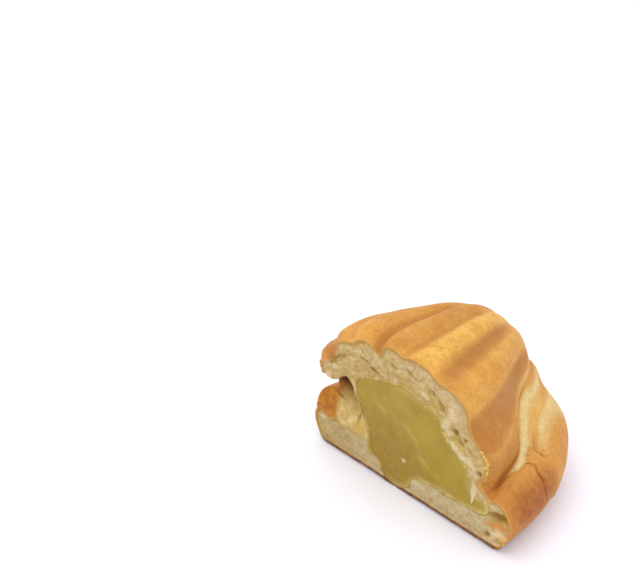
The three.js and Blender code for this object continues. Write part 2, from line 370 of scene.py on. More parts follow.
class FillingShape:
    """Below zero in the filling: the distance to its outline, read off a fine grid, shrunk with depth."""

    step = 0.25
    corner = (-60.0, -10.0)
    counts = (460, 300)

    def __init__(self):
        grid_x = self.corner[0] + self.step * np.arange(self.counts[0])
        grid_z = self.corner[1] + self.step * np.arange(self.counts[1])
        x, z = np.meshgrid(grid_x, grid_z, indexing="ij")
        self.table = outline_distance(smooth_outline(FILLING_OUTLINE, 6), x, z).astype(np.float32)

    def __call__(self, x, y, z):
        part = np.clip(y / FILLING_LENGTH, 0, 0.9999)
        share = np.sqrt(1 - part ** 2)
        flat_x = FILLING_AXIS[0] + (x - FILLING_AXIS[0]) / share
        flat_z = FILLING_AXIS[1] + (z - FILLING_AXIS[1]) / share
        place_x = np.clip((flat_x - self.corner[0]) / self.step, 0, self.counts[0] - 1.001)
        place_z = np.clip((flat_z - self.corner[1]) / self.step, 0, self.counts[1] - 1.001)
        left, under = place_x.astype(np.int32), place_z.astype(np.int32)
        part_x, part_z = place_x - left, place_z - under
        lower = self.table[left, under] * (1 - part_x) + self.table[left + 1, under] * part_x
        upper = self.table[left, under + 1] * (1 - part_x) + self.table[left + 1, under + 1] * part_x
        flat = (lower * (1 - part_z) + upper * part_z) * share
        return np.maximum(flat, y - FILLING_LENGTH)


filling_field = FillingShape()


# ---- relief of the cut ----
# Patches on the cut. Each row: x, z, half length, half height, tilt in degrees, then how strong it
# is, which is a height in mm for a tuft and a depth in mm for a hollow.
TUFTS = ((19.4, 41.9, 1.8, 1.1, -25, 1.3), (21.3, 40.6, 1.6, 1.2, -50, 1.1),
         (20.6, 44.4, 2.6, 1.7, 75, 1.2), (22.6, 48.6, 3, 1.9, 80, 1), (24.8, 35.6, 2.4, 1.3, -40, 1.1),
         (28, 33.4, 2.2, 1.3, -35, 1.2), (31.2, 32.6, 2.4, 1.6, -20, 1.2), (33.9, 30.8, 1.8, 1.1, -30, 1),
         (34.5, 20.6, 3, 1.2, 88, 1.4), (34.4, 16.6, 2.2, 0.9, 84, 1.3), (36, 23.6, 2.2, 1.3, 30, 1.1),
         (40.6, 20.9, 3.4, 0.8, -14, 1), (43.2, 19.4, 1.5, 0.9, 0, 1.1), (9, 8.4, 4.4, 1.6, 4, 0.35),
         (45.4, 7.8, 1.9, 1.1, 12, 1.1), (48.6, 6.4, 1.5, 1, 50, 1), (50.6, 11.4, 1.6, 0.8, 75, 0.7),
         (43.4, 4.6, 1.3, 0.8, 30, 0.7), (49.4, 3.6, 1.4, 0.8, -30, 0.8), (46.6, 3.2, 2.6, 1.2, 0, 1.1),
         (-36.5, 42.2, 4, 1.2, 6, 0.8), (-39.4, 36.4, 1.8, 1.6, 40, 0.9), (-25.6, 38.4, 2.8, 1, -65, 0.7),
         (-46.4, 17.4, 1.3, 0.9, 0, 0.6), (-43.4, 13.2, 2, 1, 8, 0.6), (9.6, 50.8, 2.6, 1, -15, 0.8),
         (15.2, 46.6, 1.6, 0.9, -60, 0.7))
HOLLOWS = ((24.4, 41.6, 1.7, 0.8, -35, 2.2), (28.6, 40.4, 0.9, 0.7, 0, 1.6), (26.6, 38.8, 2, 0.9, -40, 1.4),
           (35.6, 29.8, 1.3, 1, -40, 1.9), (46.4, 15.6, 4.4, 1.5, 12, 3.4),
           (-34.6, 46.8, 6.5, 0.8, 33, 1.1), (-20.4, 51.9, 2.6, 0.6, -10, 1.3),
           (-15.6, 49.6, 3.2, 0.6, -12, 1.3), (-21.4, 25.6, 2.8, 0.55, 80, 1.8),
           (12.5, 53.4, 2.4, 0.6, -30, 1.2), (2, 56.4, 3, 0.6, -12, 1.2), (17.5, 49.6, 2.2, 0.7, -50, 1.2),
           (31.4, 37.2, 1.8, 0.6, -50, 1.2), (42.2, 5.4, 1.6, 1, 20, 1.4), (-6, 56, 2, 0.5, -20, 1),
           (-45.6, 14.9, 1.5, 0.6, 4, 1.3))
# Crumb stained by the filling.
SOAKED = ((-18.6, 19.8, 3.4, 4, 0, 1), (14, 47.6, 5.5, 3.2, -30, 1), (26.6, 39.2, 3.2, 1.6, -40, 0.8),
          (47, 12, 4, 1.6, 12, 0.6), (-21, 24.6, 1.6, 3.6, 0, 0.7))
# Where the filling has seeped into the pale dough beside it, and painted shade in the fold of that dough.
GILDED = (-23.2, 18.4, 4.4, 2.4, 60, 1)
CREVICE = (-23.4, 22.8, 3.2, 0.55, 78, 1)
# The torn corner of the roll: its shaded hollow, a pale tongue and crust-coloured places.
OLIVE = ((46.4, 15.4, 4.4, 2.4, 14, 1), (42.4, 12.6, 1.6, 1.2, 0, 0.7))
TONGUE = ((47.8, 8.6, 3.2, 1.3, -12, 1), (44.6, 5.4, 1.6, 1, -30, 0.7))
SCORCHED = ((46, 11.8, 5, 1.5, 14, 1.1), (50.4, 8.6, 1.6, 2.6, -20, 0.8), (41.4, 2, 2.4, 0.8, 0, 0.7),
            (47.5, 2.4, 2.6, 0.9, 10, 0.8))
# Brown lines between the layers of the lip.
SEAMS = ((-38.4, 43.6, 5.6, 1, 25, 1), (-30.6, 48.6, 2.6, 0.8, 4, 0.6))
# The lip's crust curls over onto the cut above this line.
LIP_LINE = ((-46, -39.4, -36.4, -35.4), (40.2, 43.0, 46.8, 51.4))


def patch(x, z, row):
    """One at the middle of a tilted oval on the cut, falling off to nothing outside it."""
    middle_x, middle_z, half_length, half_height, tilt, strength = row
    turn = math.radians(tilt)
    along = (x - middle_x) * math.cos(turn) + (z - middle_z) * math.sin(turn)
    over = (z - middle_z) * math.cos(turn) - (x - middle_x) * math.sin(turn)
    return strength * np.exp(-((along / half_length) ** 2 + (over / half_height) ** 2) ** 1.5)


def patches(x, z, rows):
    """The strongest of several patches."""
    total = 0.0
    for row in rows:
        total = np.maximum(total, patch(x, z, row))
    return total


def lip_curl(x, z):
    """One where the lip's crust shows on the cut, nothing elsewhere."""
    above = z - np.interp(x, *LIP_LINE)
    return ramp(-0.5, 0.5, above) * ramp(-34.9, -36.2, x)


def crumb_layers(x, y, z, depth):
    """Streaks of crumb that follow the crust, from -1 to 1."""
    return crumb_noise.layered(x * 0.4 + z * 0.15, y * 0.5, depth, 1.2, 2)


def crumb_pores(x, y, z, depth):
    """Small holes that follow the layers, from 0 to 1."""
    small = ramp(0.48, 0.22, edge_noise.cells(x * 0.7, y * 0.7, depth * 1.1, 1.15))
    large = ramp(0.36, 0.14, crumb_noise.cells(x * 0.6, y * 0.6, depth + 40, 2.4))
    return np.maximum(small * 0.6, large)


def filling_face(x, z):
    """How far the filling's face lies behind the plane of the cut, in mm."""
    return 0.45 + 0.3 * wobble.layered(x, 0 * x, z, 13, 2) + 0.08 * crumb_noise.soft(x, 0 * x, z, 3)


def crumb_relief(x, y, z, depth, hollow):
    """How far the torn crumb lies behind the plane of the cut, in mm."""
    sway_x = x + edge_noise.layered(x, y, z, 2.0, 2)
    sway_z = z + wobble.layered(x, y, z, 2.0, 2)
    fluff = crumb_noise.layered(x, y, z, 3.4, 3, 0.6)
    fine = edge_noise.layered(x, y, z, 1.2, 2)
    behind = 0.6 + 0.4 * fluff + 0.2 * fine + 0.06 * crumb_layers(x, y, z, depth)
    behind = behind + 0.25 * crumb_pores(x, y, z, depth) - 0.15 * ramp(16, 11, z)
    behind = behind + (filling_face(x, z) - 0.05 - behind) * ramp(1.6, 0.2, hollow)
    behind = behind + patches(sway_x, sway_z, HOLLOWS) - patches(sway_x, sway_z, TUFTS)
    edge = 0.16 + 0.14 * edge_noise.soft(x, y, z, 1.8)
    rounding = 0.5 * ramp(0.7, -0.3, depth)
    lip = 1.5 * lip_curl(x, z) * ramp(3.2, 0.3, depth)
    behind = edge + (np.maximum(behind, 0.1) - edge) * ramp(0.9, 2.2, depth)
    return behind + rounding + lip


# ---- meshing ----
def neighbours(axis):
    """Picks the grid without its last layer along an axis, and without its first."""
    return [tuple(part if k == axis else slice(None) for k in range(3))
            for part in (slice(0, -1), slice(1, None))]


def surface_nets(field, lines):
    """A closed quad mesh of the field's zero surface. The grid's border counts as outside."""
    for axis in range(3):
        for end in (0, -1):
            np.moveaxis(field, axis, 0)[end] = 0.5
    inside = field < 0
    shape = tuple(count - 1 for count in field.shape)
    total = np.zeros(shape + (3,), np.float32)
    count = np.zeros(shape, np.float32)
    crossings = []
    for axis in range(3):
        first, second = neighbours(axis)
        crossed = inside[first] != inside[second]
        crossings.append(crossed)
        gap = field[first] - field[second]
        part = np.where(crossed, field[first] / np.where(crossed, gap, 1), 0)
        others = [k for k in range(3) if k != axis]
        for sides in itertools.product((0, 1), repeat=2):
            pick = [slice(None)] * 3
            for other, side in zip(others, sides):
                pick[other] = slice(side, shape[other] + side)
            pick = tuple(pick)
            here = crossed[pick]
            count += here
            total[..., axis] += part[pick]
            for other, side in zip(others, sides):
                total[..., other] += here * side
    used = count > 0
    number = np.full(shape, -1, np.int64)
    number[used] = np.arange(used.sum())
    places = np.argwhere(used) + total[used] / count[used][:, None]
    points = np.stack([np.interp(places[:, axis], np.arange(len(lines[axis])), lines[axis])
                       for axis in range(3)], 1)
    quads = []
    for axis in range(3):
        edge = np.argwhere(crossings[axis])
        outward = inside[neighbours(axis)[0]][crossings[axis]]
        others = [(axis + 1) % 3, (axis + 2) % 3]
        corners = []
        for back in ((1, 1), (0, 1), (0, 0), (1, 0)):
            place = edge.copy()
            place[:, others] -= back
            corners.append(number[tuple(place.T)])
        quad = np.stack(corners, 1)
        quad[~outward] = quad[~outward][:, ::-1]
        quads.append(quad)
    return points, np.concatenate(quads)


def grid_axes(lowest, highest, step):
    return [np.arange(lo - 2 * step, hi + 2.5 * step, step, dtype=np.float32)
            for lo, hi in zip(lowest, highest)]


def depth_steps(end):
    """Places along y, close together at the cut and wider apart behind it."""
    places = [-2 * FINE]
    while places[-1] < end + COARSE:
        part = ramp(FINE_DEPTH, 3 * FINE_DEPTH, places[-1])
        places.append(places[-1] + FINE + (COARSE - FINE) * float(part))
    return np.array(places, np.float32)


def add_object(name, data):
    thing = bpy.data.objects.new(name, data)
    bpy.context.scene.collection.objects.link(thing)
    return thing


def make_object(name, points, faces):
    mesh = bpy.data.meshes.new(name)
    mesh.vertices.add(len(points))
    placed = points * MM + np.array(TO_FRAME)
    mesh.vertices.foreach_set("co", placed.astype(np.float32).ravel())
    mesh.loops.add(faces.size)
    mesh.loops.foreach_set("vertex_index", faces.astype(np.int32).ravel())
    mesh.polygons.add(len(faces))
    mesh.polygons.foreach_set("loop_start", np.arange(0, faces.size, faces.shape[1], dtype=np.int32))
    mesh.update(calc_edges=True)
    mesh.validate()
    mesh.shade_smooth()
    return add_object(name, mesh)


def thin_out(piece, most_faces):
    """Collapses the smoothest stretches until the mesh has at most so many triangles."""
    triangles = sum(len(polygon.vertices) - 2 for polygon in piece.data.polygons)
    thinner = piece.modifiers.new("thinner", "DECIMATE")
    thinner.ratio = most_faces / triangles
    bpy.context.view_layer.objects.active = piece
    with bpy.context.temp_override(object=piece, active_object=piece):
        bpy.ops.object.modifier_apply(modifier="thinner")
    piece.data.shade_smooth()


def read_points(piece):
    points = np.empty(len(piece.data.vertices) * 3, np.float32)
    piece.data.vertices.foreach_get("co", points)
    return points.reshape(-1, 3)


def keep_in_box(piece, box):
    """Moves points that stray past the CAD node's box back onto it."""
    lowest, highest = (np.array(corner) for corner in box)
    inside = np.clip(read_points(piece), lowest, highest)
    piece.data.vertices.foreach_set("co", inside.astype(np.float32).ravel())
    piece.data.update()


def own_points(piece):
    """The mesh's points back in millimetres in the cut's frame."""
    return ((read_points(piece) - np.array(TO_FRAME)) / MM).astype(np.float32).T


def paint(piece, **masks):
    """Stores each mask on the piece's points, kept from 0 to 1, for the materials to read."""
    for name, values in masks.items():
        layer = piece.data.attributes.new(name, "FLOAT", "POINT")
        layer.data.foreach_set("value", np.clip(values, 0, 1).astype(np.float32))


# ---- the bread ----
def bread_body(x, y, z):
    """Everything but the fine relief: outside, split, and the hollow for the filling."""
    outside = outside_field(x, y, z)
    split = split_field(x, y, z)
    hollow = filling_field(x, y, z)
    rim = (np.abs(hollow) < 6) & (y < 4)
    ragged = 0.9 * edge_noise.layered(x[rim], y[rim], z[rim], 2.4, 3, 0.7)
    torn = patches(x[rim], z[rim], TUFTS) * 3.4 * ramp(2.6, 1.4, y[rim])
    hollow[rim] += ragged * ramp(4, 1, y[rim]) + torn
    return outside, split, hollow


def make_bread():
    lines = grid_axes(*BREAD_GRID, STEP)
    lines[1] = depth_steps(LENGTH)
    x, y, z = np.meshgrid(*lines, indexing="ij")
    outside, split, hollow = bread_body(x, y, z)
    field = np.maximum(np.maximum(outside, -split), np.maximum(-hollow, -y + 0.1))
    near_cut = (y < 5.5) & (outside < 1) & (field > -5.5)
    place = x[near_cut], y[near_cut], z[near_cut]
    relief = crumb_relief(*place, -outside[near_cut], hollow[near_cut])
    torn = blend_max(relief - y[near_cut], -split[near_cut], 1.4)
    field[near_cut] = np.maximum(field[near_cut], torn)
    near_crust = np.abs(outside) < 1.2
    grain = crust_noise.layered(x[near_crust], y[near_crust], z[near_crust], 2.6, 2)
    field[near_crust] += 0.06 * grain
    points, quads = surface_nets(field, lines)
    piece = make_object("bread_half", points, quads)
    thin_out(piece, BREAD_FACES)
    keep_in_box(piece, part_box("bread"))
    return piece


def furrow_mask(x, y, z, angle, uneven):
    """Painted shade on the dome: darker in the furrows, on its near flank, on one ridge and over its far
    half.
    """
    degrees = np.degrees(angle)
    furrow = ramp(0.2, 3.2, dome_furrows(angle, y) + 0.25 * uneven)
    near_side = 0.75 * bump(degrees, -5, 12) * ramp(40, 20, y) + 0.4 * bump(degrees, 34, 10)
    far_side = 0.45 * ramp(82, 98, degrees) * (1 - 0.9 * bump(degrees, 135, 16) * ramp(16, 5, y))
    far_side = far_side + 0.15 * bump(degrees, 95, 8) + 0.5 * bump(degrees, 162, 9)
    shaded = near_side + far_side + 0.6 * bump(degrees, 51, 8) * ramp(20, 6, y)
    return np.maximum(furrow, shaded * (1 + 0.4 * wobble.layered(x, y, z, 9, 2)))


def roll_masks(x, y, z, dome, on_dome, uneven):
    """The roll's pale dough, the golden streak in it, and its darker low stretches."""
    near_roll = ramp(14, 24, x) * (1 - on_dome) * ramp(10, 17, z)
    out = dome + 0.8 * wobble.layered(x, y, z, 7, 2)
    past_lobe = lobe_edge(x, y, dome)
    crisp = ramp(0.9, -0.5, past_lobe + 0.5 * uneven)
    lobe = crisp + (ramp(7, -4, past_lobe + 2 * uneven) - crisp) * ramp(4, 10, out)
    strip = ramp(7.5, 3.2, out) * (1 - 0.75 * ramp(46, 52, y) * ramp(3.6, 1.6, out))
    wide = 6 * ramp(50, 60, y)
    fold = FOLD["out"]
    beyond = ramp(fold - 1.4, fold + 1.2, out) * ramp(19 + wide, 11 + wide, out)
    beyond = beyond * (0.4 + 0.6 * ramp(30, 40, y)) * ramp(70, 52, y)
    pale = np.maximum(strip, 0.8 * beyond) * (1 - lobe) * near_roll * ramp(72, 60, y)
    streak = ramp(3.6, 7.6, out) * ramp(fold + 2.4, fold - 1.4, out) * (1 - lobe)
    far_pale = ramp(14, 6, x) * (1 - on_dome) * ramp(0.97, 0.86, base_reach(x, y)[0]) * (z > 18)
    low = ramp(26, 19.2, z + 1.2 * uneven) * (1 - 0.5 * ramp(15, 5, z))
    return dict(
        pale=np.maximum(pale, 0.7 * far_pale * ramp(18, 30, y)),
        streak=streak * near_roll * ramp(56, 48, y),
        low=low * (0.35 + 0.65 * ramp(1, 8, y)) * ramp(38, 26, y),
        foot=ramp(16, 7, z + 1.5 * uneven),
    )


def crumb_masks(x, y, z, depth, torn, uneven):
    """Tones of the torn crumb, by place on the cut and by patch, with painted shade in its pores and hollows
    and further in from the cut.
    """
    cloudy = crumb_noise.layered(x, y, z, 5.5, 3)
    hollowed = np.maximum(crumb_pores(x, y, z, depth) * 0.5, patches(x, z, HOLLOWS) * 0.8)
    slab = ramp(17, 13, z + uneven) * (y < 4)
    return dict(
        inner=ramp(5.5, 9.5, depth + 1.5 * uneven),
        left=ramp(8, -14, x) * ramp(20, 30, z),
        slab=slab,
        dim=slab * ramp(-12, -34, x),
        golden=ramp(14, 24, x - 0.4 * (z - 30)) * ramp(12, 20, z) * torn,
        layer=ramp(-0.4, 0.4, crumb_layers(x, y, z, depth)),
        dash=ramp(0.22, 0.55, edge_noise.layered(x * 0.45, y * 0.5, depth * 1.3, 0.9, 2)),
        white=torn * (patches(x, z, TUFTS) + 0.35 * ramp(0.1, 0.6, cloudy) * ramp(10, 18, z)),
        # painted shade: darker in pores and hollows and further in from the cut
        pit=np.maximum(hollowed, ramp(1.8, 3.8, y)) * torn,
        olive=patches(x + uneven, z + uneven, OLIVE) * torn,
        tongue=patches(x + uneven, z + uneven, TONGUE) * torn,
        scorched=patches(x, z, SCORCHED) * torn * (1 + 0.5 * uneven),
        gilded=patch(x, z, GILDED) * ramp(6, 3, y),
    )


def split_masks(x, y, z, skin, uneven):
    """Tones of the skin inside the split, with painted shade under the lip and deep inside."""
    browned = ramp(-34.0, -37.5, x + 0.1 * (z - 22) + 1.2 * uneven) + ramp(5, 9, y)
    # painted shade under the dome's lip; deep inside, very dark: partly browned crust, partly painted shade
    return dict(skin=skin, browned=browned * skin, deep=ramp(4, 10, y) * skin,
                shelter=ramp(19, 28, z) * skin)


def paint_bread(piece):
    x, y, z = own_points(piece)
    outside, split, hollow = bread_body(x, y, z)
    depth = -outside
    dome = dome_field(x, y, z)
    past_seam = dome - base_field(x, y, z)
    angle = dome_angle(x, y, z)[0]
    degrees = np.degrees(angle)
    uneven = edge_noise.layered(x, y, z, 2.4, 2)
    at_cut = ramp(5.0, 4.0, y)
    curl = lip_curl(x, z) * at_cut
    bare_lip = ramp(41.6, 40.2, z + 0.8 * uneven) * ramp(-34, -37, x) * ramp(26, 30, z) * ramp(7, 3, y)
    thick = 0.4 + (1.0 + 0.7 * uneven) * ramp(3.8, 1.8, z) + 0.2 * ramp(-1, 1, uneven) + 0.7 * ramp(3, 5, y)
    crust = ramp(thick + 0.25, thick - 0.25, depth + 0.25 * uneven) * (1 - bare_lip)
    crust = np.maximum(crust, np.maximum(curl, ramp(5, 7, y) * ramp(0.5, 1.5, hollow)))
    torn = (1 - crust) * at_cut
    skin = ramp(1.1, 0.4, np.abs(split)) * ramp(0.7, 1.5, y)
    crust = crust * (1 - skin)
    on_dome = ramp(0.5, -0.3, dome + 0.2 * uneven) * ramp(19, 23, z)
    inset = depth + 0.4 * uneven + 3 * curl
    soak = np.maximum(ramp(1.6, 0.0, hollow), patches(x, z, SOAKED) * at_cut)
    wall = ramp(2.4, 1.2, hollow) * ramp(-8, -12, x) * ramp(35, 31, z) * ramp(8, 10, z)
    paint(
        piece,
        crust=crust,
        dome=on_dome,
        # painted shade in the furrows and on the dome's sides away from the light
        furrow=furrow_mask(x, y, z, angle, uneven),
        # painted shade over the dome, leaving two ridges lighter as painted highlights
        warm=1 - bump(degrees, 75, 13) - 0.6 * bump(degrees, 40, 9),
        rim=bump(past_seam, -1.0, 2.0) * on_dome * ramp(22, 34, y),
        edge=ramp(0.05, 0.5, depth) * at_cut * ramp(4, 7, z) * (1 - curl),
        # painted shade in the groove where dome and roll meet
        groove=bump(past_seam, 0, 2.6) * ramp(24, 5, y) * ramp(30, 36, x) * crust * ramp(18, 21, z),
        # painted shade in the roll's thin creases
        crease=ramp(0.15, 0.8, roll_creases(x, y, z, dome)) * (1 - on_dome) * crust,
        under=ramp(3.2, 1.6, z + 0.9 * uneven) * crust,
        rind=ramp(0.2, 0.4, inset) * ramp(3.1, 1.5, inset) * at_cut * ramp(3, 5, z),
        oily=ramp(9, 3, hollow + uneven) * ramp(26, 34, z) * ramp(30, 16, x) * at_cut,
        soak=0.6 * soak * (1 - crust),
        wall=wall * ramp(7, 5, y),
        seam=patches(x + uneven, z + uneven, SEAMS) * (1 - crust) * at_cut,
        # painted shade in the fold of the dough beside the filling
        crevice=patch(x, z, CREVICE) * ramp(6, 3, y) * (1 - crust),
        **roll_masks(x, y, z, dome, on_dome, uneven),
        **crumb_masks(x, y, z, depth, torn, uneven),
        **split_masks(x, y, z, skin, uneven),
    )


# ---- materials ----
class Nodes:
    """Short forms for building a material's node tree."""

    def __init__(self, name):
        self.material = bpy.data.materials.new(name)
        self.material.use_nodes = True
        self.tree = self.material.node_tree
        self.tree.nodes.clear()
        self.shader = self.add("ShaderNodeBsdfPrincipled")
        self.add("ShaderNodeOutputMaterial", Surface=self.shader.outputs["BSDF"])
        self.place = self.add("ShaderNodeTexCoord").outputs["Object"]

    def add(self, kind, **values):
        """A new node, with its sockets fed."""
        node = self.tree.nodes.new(kind)
        self.feed(node, **values)
        return node

    def give(self, socket, value):
        """Joins an output to a socket, or sets the socket to a steady number or colour."""
        if isinstance(value, bpy.types.NodeSocket):
            self.tree.links.new(value, socket)
        else:
            socket.default_value = (*value, 1.0) if socket.type == "RGBA" else value

    def feed(self, node, **values):
        """Gives a node's sockets their values. Their names are written with _ for each space."""
        for name, value in values.items():
            if value is not None:
                self.give(node.inputs[name.replace("_", " ")], value)

    def mask(self, name):
        node = self.add("ShaderNodeAttribute")
        node.attribute_name = name
        return node.outputs["Fac"]

    def noise(self, scale, detail=4.0, rough=0.55):
        return self.add("ShaderNodeTexNoise", Vector=self.place, Scale=scale, Detail=detail,
                        Roughness=rough).outputs["Fac"]

    def ramp(self, value, start, end, low=0.0, high=1.0):
        node = self.add("ShaderNodeMapRange", Value=value, From_Min=start, From_Max=end, To_Min=low,
                        To_Max=high)
        node.interpolation_type = "SMOOTHSTEP"
        return node.outputs["Result"]

    def math(self, kind, *values):
        node = self.add("ShaderNodeMath")
        node.operation = kind
        for socket, value in zip(node.inputs, values):
            self.give(socket, value)
        return node.outputs["Value"]

    def mix(self, factor, first, second):
        node = self.add("ShaderNodeMix")
        node.data_type = "RGBA"
        colours = [socket for socket in node.inputs if socket.type == "RGBA"]
        for socket, value in zip((node.inputs[0], *colours), (factor, first, second)):
            self.give(socket, value)
        return [socket for socket in node.outputs if socket.type == "RGBA"][0]

    def tint(self, under, *rows):
        """Lays colours over one another. Each row: a mask or its name, its share, and a colour."""
        for mask, share, colour in rows:
            cover = self.mask(mask) if isinstance(mask, str) else mask
            over = baked(*colour) if isinstance(colour, tuple) else colour
            under = self.mix(self.math("MULTIPLY", cover, share), under, over)
        return under

    def bump(self, height, distance, strength=1.0, below=None):
        return self.add("ShaderNodeBump", Strength=strength, Distance=distance, Height=height,
                        Normal=below).outputs["Normal"]


def srgb(red, green, blue):
    """A screen colour, 0 to 255, as linear light."""
    values = []
    for value in (red, green, blue):
        value /= 255
        values.append(value / 12.92 if value <= 0.04045 else ((value + 0.055) / 1.055) ** 2.4)
    return tuple(values)


def baked(red, green, blue):
    """The base colour that shows as this screen colour under the stage's strong light."""
    return tuple(value * STAGE_SHARE for value in srgb(red, green, blue))


def dome_colour(n, mottled, cloudy):
    """The dome's golden crust with specks and spots, with painted shade in the furrows and on its sides away
    from the light, and two ridges left lighter as painted highlights.
    """
    furrow = n.mask("furrow")
    speckle = n.ramp(n.noise(1500, 3), 0.56, 0.66)
    spots = n.ramp(n.noise(430, 2), 0.64, 0.74)
    golden = n.mix(n.ramp(mottled, 0.35, 0.68), baked(255, 203, 94), baked(241, 180, 76))
    # Painted shade over the dome except two ridges, which stay light as painted highlights, and painted shade
    # in the furrows.
    return n.tint(golden, ("warm", 0.4, (236, 160, 70)), (furrow, 0.78, (184, 116, 44)),
                  (n.ramp(cloudy, 0.4, 0.66), 0.25, (204, 132, 50)),
                  (speckle, n.math("MULTIPLY_ADD", furrow, 0.4, 0.16), (142, 84, 34)),
                  (spots, 0.4, (164, 96, 40)))


def roll_colour(n, fine, cloudy):
    """The roll's smoother crust, and the pale dough behind the lobe."""
    roll = n.mix(n.ramp(n.noise(55, 4), 0.32, 0.68), baked(232, 166, 72), baked(220, 150, 62))
    pale = n.mix(n.ramp(cloudy, 0.35, 0.65), baked(248, 232, 164), baked(242, 222, 154))
    return n.tint(roll, ("low", 1.0, (170, 94, 26)), ("foot", 0.7, (190, 120, 8)),
                  (n.ramp(cloudy, 0.38, 0.64), 0.25, (236, 170, 80)),
                  (n.ramp(fine, 0.34, 0.66), 0.16, (176, 104, 40)),
                  ("pale", 0.9, pale), ("streak", 0.85, (240, 194, 106)))


def crust_colour(n, mottled, fine, cloudy):
    """Dome and roll together, with what lies over both, and painted shade in the groove and the creases."""
    outer = n.mix(n.mask("dome"), roll_colour(n, fine, cloudy), dome_colour(n, mottled, cloudy))
    return n.tint(outer, ("rim", 0.75, (246, 210, 138)), ("edge", 0.7, (240, 182, 88)),
                  ("groove", 0.8, (186, 108, 38)), ("crease", 0.4, (150, 84, 36)),
                  ("under", 0.95, (108, 60, 36)), (n.ramp(fine, 0.36, 0.64), 0.2, (176, 108, 44)))


def crumb_colour(n, pores):
    """The torn crumb on the cut: pale flecks that are partly painted highlights, painted shade in pores and
    pits, and stains from filling and crust.
    """
    crumb = n.mix(n.mask("inner"), baked(217, 187, 133), baked(224, 194, 122))
    # Pale flecks of crumb, partly painted highlights.
    tufts = n.ramp(n.noise(420, 5, rough=0.6), 0.52, 0.64)
    stained = n.ramp(n.math("ADD", n.noise(650, 5, rough=0.65), n.mask("soak")), 0.95, 1.2)
    return n.tint(crumb, ("left", 0.8, (208, 178, 108)), ("slab", 0.9, (207, 190, 148)),
                  ("dim", 0.85, (184, 158, 98)), ("golden", 0.5, (212, 178, 96)),
                  ("oily", 0.65, (190, 154, 74)), ("layer", 0.3, (238, 216, 170)),
                  ("dash", 0.42, (160, 126, 66)),
                  (n.ramp(n.noise(260, 4), 0.46, 0.66), 0.35, (200, 166, 100)),
                  (pores, 0.4, (162, 130, 70)),
                  (tufts, n.math("MULTIPLY_ADD", n.mask("slab"), -0.32, 0.42), (244, 228, 184)),
                  ("white", 0.65, (240, 222, 176)), ("pit", 0.6, (176, 140, 66)),
                  (stained, 0.75, (196, 164, 58)), ("rind", 0.72, (192, 138, 54)),
                  ("olive", 0.8, (204, 166, 68)), ("scorched", 1.0, (218, 142, 54)),
                  ("tongue", 0.8, (246, 208, 140)))


def split_colour(n, pores, cloudy):
    """The skin inside the split, browned towards its far end, with painted shade in its pores and under the
    lip, and very dark deep inside, partly browned crust and partly painted shade.
    """
    skin = n.mix(n.ramp(n.noise(260, 4), 0.35, 0.65), baked(237, 209, 143), baked(215, 181, 107))
    browned = n.mix(n.ramp(cloudy, 0.35, 0.65), baked(204, 138, 50), baked(184, 110, 36))
    # Painted shade in pores and under the lip; deep inside, browned crust darkened further as painted shade.
    return n.tint(skin, (pores, 0.3, (176, 140, 70)), ("shelter", 0.6, (176, 142, 70)),
                  ("browned", 1.0, browned), ("deep", 0.9, (104, 48, 34)))


def bread_material():
    n = Nodes("baked_bread")
    crust = n.mask("crust")
    mottled, fine, cloudy = n.noise(140, 5), n.noise(900, 4), n.noise(330, 4)
    # Painted shade in the pores of crumb and skin.
    pores = n.ramp(n.noise(850, 4, rough=0.65), 0.4, 0.66)
    crumb = n.mix(n.mask("skin"), crumb_colour(n, pores), split_colour(n, pores, cloudy))
    # Stains where the filling seeped, painted shade in the fold beside it, brown seams and the soaked wall.
    crumb = n.tint(crumb, ("gilded", 0.75, (216, 178, 78)), ("crevice", 0.8, (150, 106, 50)),
                   ("seam", 0.75, (158, 122, 54)), ("wall", 0.85, (178, 150, 52)))
    rough = n.ramp(mottled, 0.3, 0.7, 0.5, 0.64)
    grain = n.bump(fine, 0.0004, 0.6)
    fluffy = n.math("MULTIPLY", n.noise(1100, 5, rough=0.65), n.math("SUBTRACT", 1.0, crust))
    n.feed(n.shader, Base_Color=n.mix(crust, crumb, crust_colour(n, mottled, fine, cloudy)),
            Roughness=n.math("MAXIMUM", rough, n.ramp(crust, 0.2, 0.8, 0.9, 0.0)),
            Normal=n.bump(fluffy, 0.0006, 0.7, grain), Specular_IOR_Level=0.25,
            Subsurface_Weight=0.15, Subsurface_Radius=(1.0, 0.6, 0.3), Subsurface_Scale=0.001)
    return n.material


def filling_material():
    n = Nodes("paste_filling")
    cloud = n.noise(90, 3)
    colour = n.mix(n.ramp(cloud, 0.35, 0.68), baked(168, 136, 16), baked(178, 152, 36))
    torn = n.math("ADD", n.noise(480, 6, rough=0.7), n.mask("fringe"))
    # Painted shade towards the lower left of the paste's face, then paler smears and flecks.
    colour = n.tint(colour, ("brown", 0.75, (158, 120, 24)),
                    (n.ramp(n.noise(420, 5, rough=0.65), 0.38, 0.62), 0.25, (190, 164, 70)),
                    ("smear", 0.65, (202, 184, 94)), ("mellow", 0.5, (212, 192, 118)),
                    (n.ramp(torn, 0.98, 1.07), 0.8, (220, 198, 122)), ("fleck", 1.0, (216, 200, 130)))
    n.feed(n.shader, Base_Color=colour, Roughness=0.42, Specular_IOR_Level=0.3,
            Normal=n.bump(n.noise(420, 5), 0.0005, 0.5),
            Subsurface_Weight=0.35, Subsurface_Radius=(1.0, 0.8, 0.25), Subsurface_Scale=0.003)
    return n.material


def granule_material():
    n = Nodes("crust_crumbs")
    tone = n.ramp(n.noise(500, 2), 0.35, 0.65)
    n.feed(n.shader, Base_Color=n.mix(tone, baked(232, 180, 74), baked(242, 208, 116)), Roughness=0.8)
    return n.material


